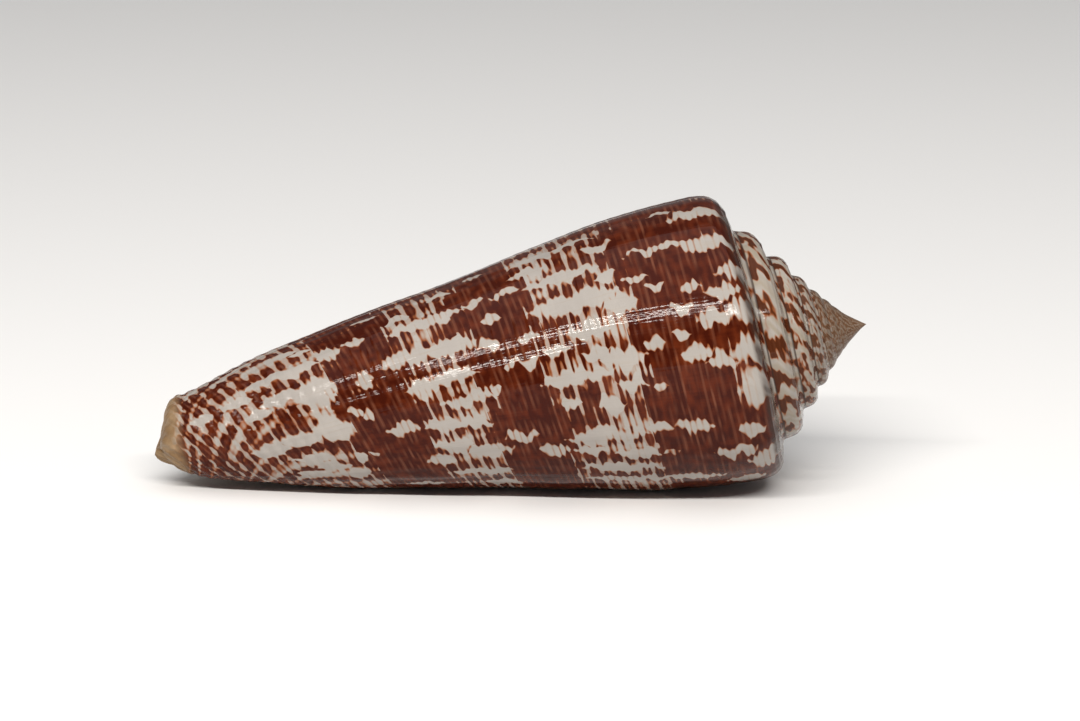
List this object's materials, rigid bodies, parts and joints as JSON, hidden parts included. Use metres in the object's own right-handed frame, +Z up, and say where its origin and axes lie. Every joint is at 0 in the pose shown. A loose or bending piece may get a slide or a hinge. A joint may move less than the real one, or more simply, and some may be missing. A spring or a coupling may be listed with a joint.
{
  "type": "cone shell",
  "caption": "Cone shell lying on its aperture side: a low stepped spire, rounded shoulder and long tapering body whorl with a narrow full-length aperture.",
  "frame": {"origin": "centre of the bounding box's base, on the floor under the shell", "axes": "+X towards the apex along the shell's length, +Z up, so that the shell lies on its aperture side"},
  "size_m": [0.0644, 0.0286, 0.0265],
  "materials": {
    "shell": "glossy, white with rows of dark reddish-brown marks"
  },
  "bodies": {
    "root": {"cone_shell": "shell"}
  },
  "joints": []
}
